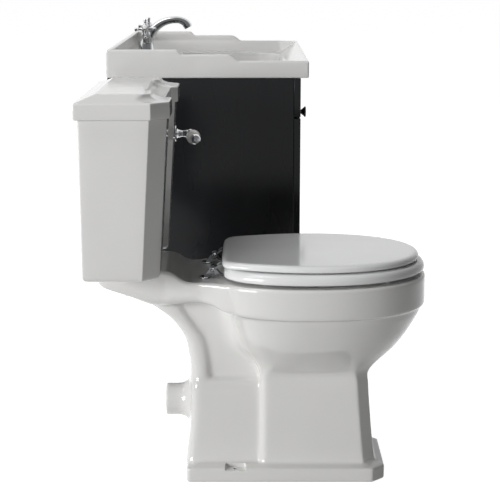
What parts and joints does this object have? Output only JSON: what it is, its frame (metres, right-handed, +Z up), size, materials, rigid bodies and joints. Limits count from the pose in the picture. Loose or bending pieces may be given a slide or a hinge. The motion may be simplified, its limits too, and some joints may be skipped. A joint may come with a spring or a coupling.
{
  "type": "combined vanity and toilet unit",
  "caption": "Close-coupled toilet with stepped cistern beside a wall-hung vanity: china basin, cross-head mixer tap and pull-out drawer.",
  "frame": {"origin": "the wall at floor level on the toilet's centre line", "axes": "+Z up, the wall is the plane Y = 0 and the front looks along -Y; +X runs along the wall from the toilet to the vanity"},
  "size_m": [1.467, 0.691, 0.9032],
  "materials": {
    "glazed_china": "glossy white glaze",
    "seat_plastic": "glossy white moulding",
    "china_trim": "glossy white glaze",
    "chrome_metal": "polished",
    "brass_fixings": "turned",
    "rubber_seals": "matt",
    "grey_plastic": "moulded",
    "white_plastic": "moulded",
    "black_plastic": "moulded",
    "dark_lacquer": "dark charcoal lacquer",
    "black_metal": "black",
    "grey_board": "satin lacquer",
    "zinc_steel": "zinc plated"
  },
  "bodies": {
    "fixed": {"pan": "glazed_china", "cistern_body": "glazed_china", "basin": "glazed_china", "lever_boss": "chrome_metal", "hinge_posts": "chrome_metal", "hinge_pins": "chrome_metal", "tap_body": "chrome_metal", "tap_nozzle": "chrome_metal", "left_bonnet": "chrome_metal", "right_bonnet": "chrome_metal", "waste_body": "chrome_metal", "bottle_trap": "chrome_metal", "trap_cup": "chrome_metal", "trap_pipe": "chrome_metal", "coupling_bolts": "brass_fixings", "coupling_wing_nuts": "brass_fixings", "tap_nut": "brass_fixings", "doughnut_washer": "rubber_seals", "coupling_washers": "rubber_seals", "flush_valve_nut": "grey_plastic", "fill_valve_nut": "grey_plastic", "lever_nut": "grey_plastic", "hinge_nuts": "grey_plastic", "waste_nut": "grey_plastic", "flush_valve_body": "white_plastic", "fill_valve": "white_plastic", "cable_sleeve": "black_plastic", "side_panels": "dark_lacquer", "bottom_panel": "dark_lacquer", "back_rails": "dark_lacquer", "top_fascia": "dark_lacquer", "runners_fixed": "zinc_steel", "wall_hangers": "zinc_steel"},
    "cistern_top": {"cistern_lid": "glazed_china"},
    "lever": {"flush_lever": "chrome_metal", "lever_grip": "china_trim", "lever_cam": "grey_plastic"},
    "piston": {"flush_piston": "grey_plastic", "cable_clip": "grey_plastic"},
    "float": {"float_cup": "black_plastic"},
    "ring": {"seat_ring": "seat_plastic", "ring_buffers": "seat_plastic", "ring_hinge_arms": "chrome_metal"},
    "cover": {"seat_lid": "seat_plastic", "lid_buffers": "seat_plastic", "lid_hinge_arms": "chrome_metal"},
    "drawer": {"drawer_front": "dark_lacquer", "drawer_sides": "grey_board", "drawer_backs": "grey_board", "drawer_bottom": "grey_board", "trap_surround": "grey_board", "drawer_knob": "black_metal", "runners_moving": "zinc_steel"},
    "left_tap": {"left_crosshead": "chrome_metal", "left_index": "china_trim"},
    "right_tap": {"right_crosshead": "chrome_metal", "right_index": "china_trim"},
    "plug": {"waste_plug": "chrome_metal"}
  },
  "joints": [
    {"name": "ring_tip", "type": "hinge", "parent": "fixed", "child": "ring", "pos_m": [0, -0.258, 0.442], "axis": [-1, 0, 0], "range_deg": [0, 89]},
    {"name": "lid_tip", "type": "hinge", "parent": "ring", "child": "cover", "pos_m": [0, -0.258, 0.442], "axis": [1, 0, 0], "range_deg": [-89, 0]},
    {"name": "cistern_lid_lift", "type": "slide", "parent": "fixed", "child": "cistern_top", "axis": [0, 0, 1], "range_m": [0, 0.12]},
    {"name": "flush_press", "type": "hinge", "parent": "fixed", "child": "lever", "pos_m": [0.15, -0.206, 0.686], "axis": [0, -1, 0], "range_deg": [0, 25], "stiffness_Nm_per_rad": 0.8, "springref_deg": -6.88},
    {"name": "piston_lift", "type": "slide", "parent": "fixed", "child": "piston", "axis": [0, 0, 1], "range_m": [0, 0.015]},
    {"name": "float_rise", "type": "slide", "parent": "fixed", "child": "float", "axis": [0, 0, 1], "range_m": [0, 0.14]},
    {"name": "drawer_slide", "type": "slide", "parent": "fixed", "child": "drawer", "axis": [0, -1, 0], "range_m": [0, 0.3]},
    {"name": "left_tap_turn", "type": "hinge", "parent": "fixed", "child": "left_tap", "pos_m": [0.774, -0.067, 0.874], "axis": [-0.866, 0, 0.5], "range_deg": [0, 90]},
    {"name": "right_tap_turn", "type": "hinge", "parent": "fixed", "child": "right_tap", "pos_m": [0.898, -0.067, 0.874], "axis": [0.866, 0, 0.5], "range_deg": [0, 90]},
    {"name": "plug_press", "type": "slide", "parent": "fixed", "child": "plug", "axis": [0, 0, -1], "range_m": [0, 0.007]}
  ],
  "couplings": [
    {"joint": "piston_lift", "follows": "flush_press", "m_per_rad": 0.034}
  ]
}
